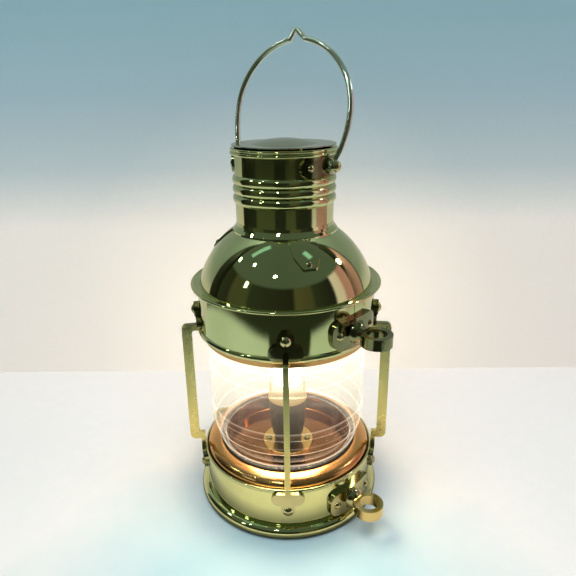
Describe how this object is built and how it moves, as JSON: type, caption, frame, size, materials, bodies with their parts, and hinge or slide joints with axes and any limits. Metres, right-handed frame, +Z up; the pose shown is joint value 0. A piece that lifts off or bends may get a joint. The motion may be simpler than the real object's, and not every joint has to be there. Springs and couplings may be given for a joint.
{
  "type": "ship lantern",
  "caption": "Brass anchor lantern with a ribbed glass globe, domed hood and vented chimney, cast guard bars, side eyes for guide lines and a hinged wire handle.",
  "frame": {"origin": "centre of the circle the foot stands on", "axes": "+Z up along the lantern's axis; -Y is the front guard bar; +X is to the right seen from the front"},
  "size_m": [0.2162, 0.218, 0.4807],
  "materials": {
    "polished_brass": "polished",
    "plain_brass": "satin",
    "cast_brass": "satin",
    "brass_fixings": "satin",
    "handle_brass": "satin",
    "copper_sheet": "polished copper",
    "globe_glass": "clear",
    "bulb_glass": "clear",
    "sheet_steel": "satin",
    "seal_rubber": "matt",
    "holder_plastic": "matt",
    "ceramic": "semi-gloss",
    "filament_wire": "lit",
    "wire_sleeve": "matt"
  },
  "bodies": {
    "lantern": {"foot_ring": "polished_brass", "base_drum": "polished_brass", "base_floor": "plain_brass", "floor_screws": "sheet_steel", "base_rim": "polished_brass", "deck": "copper_sheet", "lamp_tray": "copper_sheet", "lower_gasket": "seal_rubber", "globe": "globe_glass", "upper_gasket": "seal_rubber", "glass_gallery": "copper_sheet", "skirt": "polished_brass", "gutter_ring": "polished_brass", "dome": "polished_brass", "flue_cone": "sheet_steel", "chimney": "polished_brass", "chimney_rim": "polished_brass", "cap_spacers": "polished_brass", "chimney_cap": "polished_brass", "chimney_tab_front": "polished_brass", "chimney_tab_back": "polished_brass", "chimney_tab_left": "polished_brass", "tab_screws": "brass_fixings", "guard_front": "cast_brass", "guard_right": "cast_brass", "guard_back": "cast_brass", "guard_left": "cast_brass", "guard_rivets": "brass_fixings", "guard_screws": "brass_fixings", "eye_upper_right": "cast_brass", "eye_lower_right": "cast_brass", "eye_upper_left": "cast_brass", "eye_lower_left": "cast_brass", "eye_rivets": "brass_fixings", "handle_lug_right": "cast_brass", "handle_lug_left": "cast_brass", "lug_rivets": "brass_fixings", "pivot_washers": "brass_fixings", "pivot_rivets": "brass_fixings", "holder_base": "polished_brass", "holder_screws": "brass_fixings", "holder_body": "holder_plastic", "holder_insert": "ceramic", "holder_collar": "polished_brass", "centre_contact": "brass_fixings", "bulb_cap": "sheet_steel", "bulb_glass": "bulb_glass", "filament": "filament_wire", "cable_gland": "brass_fixings", "gland_nut": "brass_fixings", "terminal_block": "ceramic", "inner_lead": "seal_rubber", "holder_wires": "wire_sleeve"},
    "handle": {"handle": "handle_brass"}
  },
  "joints": [
    {"name": "handle_swing", "type": "hinge", "parent": "lantern", "child": "handle", "pos_m": [0, 0, 0.3624], "axis": [0.829, -0.5592, 0], "range_deg": [-118, 140]}
  ]
}
